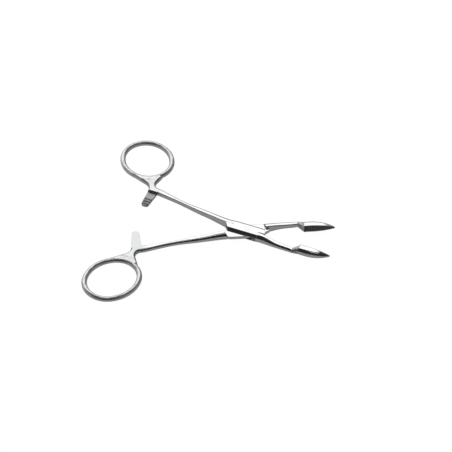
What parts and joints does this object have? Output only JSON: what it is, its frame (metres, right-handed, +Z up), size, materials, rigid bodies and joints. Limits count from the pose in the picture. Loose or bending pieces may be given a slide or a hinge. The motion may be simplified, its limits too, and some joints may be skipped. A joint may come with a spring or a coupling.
{
  "type": "hemostat forceps",
  "caption": "Box-lock hemostat forceps with finger rings, a ratchet, slender shanks and short leaf-shaped serrated jaws, open.",
  "frame": {"origin": "pin axis where it meets the plane of the box lock's underside", "axes": "+X to the jaw tips along the middle line between the opened arms, +Y to the finger ring of the slotted arm, +Z up along the pin axis"},
  "size_m": [0.1301, 0.1284, 0.0052],
  "materials": {
    "polished_steel": "mirror polished stainless steel",
    "pin_steel": "polished stainless steel, ground flush with the lock"
  },
  "bodies": {
    "slotted_arm": {"female_arm": "polished_steel", "lock_pin": "pin_steel"},
    "tongued_arm": {"male_arm": "polished_steel"}
  },
  "joints": [
    {"name": "lock_hinge", "type": "hinge", "parent": "slotted_arm", "child": "tongued_arm", "pos_m": [0, 0, 0.0026], "axis": [0, 0, -1], "range_deg": [0, 25.6]}
  ]
}
